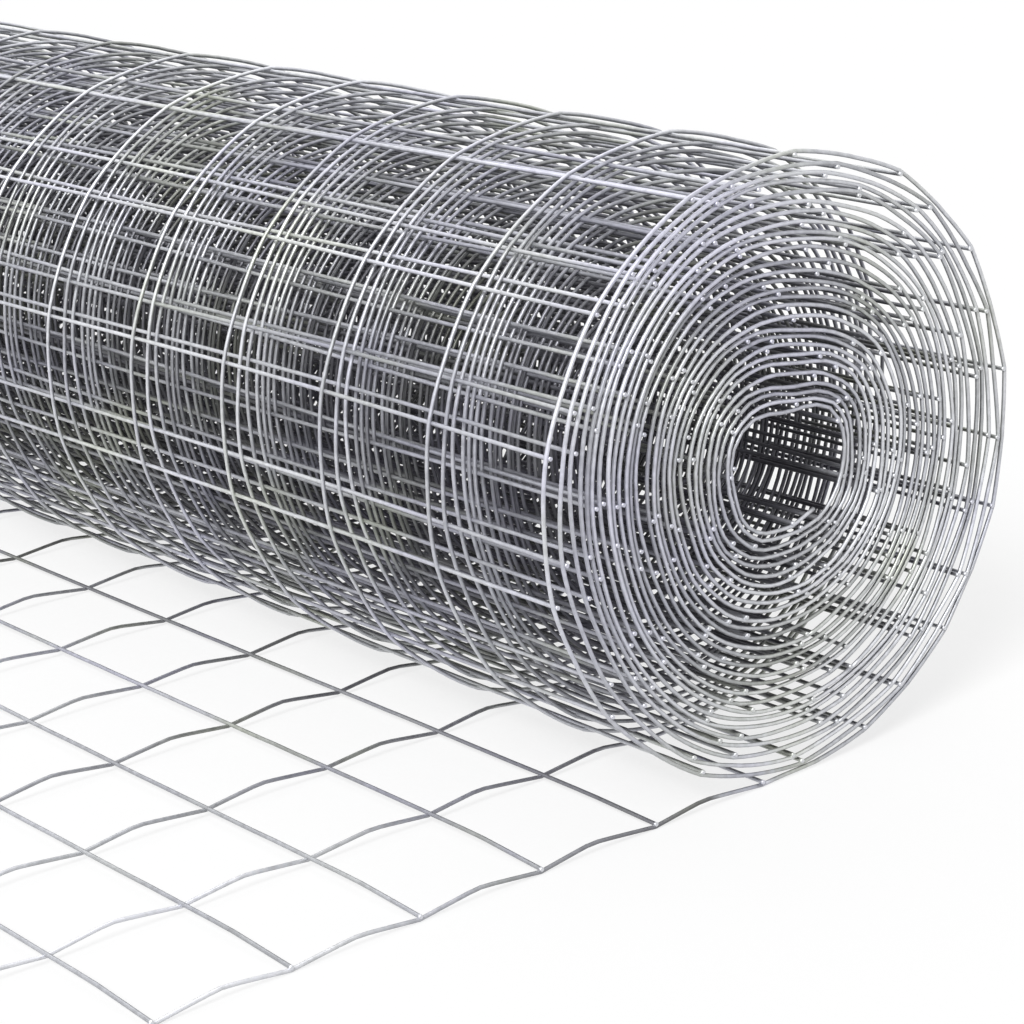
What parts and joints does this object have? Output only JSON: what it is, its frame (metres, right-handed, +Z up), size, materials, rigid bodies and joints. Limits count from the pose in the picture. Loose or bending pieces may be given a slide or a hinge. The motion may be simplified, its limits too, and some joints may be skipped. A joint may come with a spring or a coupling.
{
  "type": "roll of wire fencing",
  "caption": "Roll of galvanised welded wire fencing lying on its side, with the free end let out flat over the floor from under the roll.",
  "frame": {"origin": "middle of the footprint, on the floor", "axes": "+X along the roll's axis, +Z up; the flat free end points to -Y"},
  "size_m": [0.9946, 0.509, 0.28],
  "materials": {
    "galvanised_wire": "satin galvanised"
  },
  "bodies": {
    "root": {"rolled_mesh": "galvanised_wire", "unrolled_mesh": "galvanised_wire"}
  },
  "joints": []
}
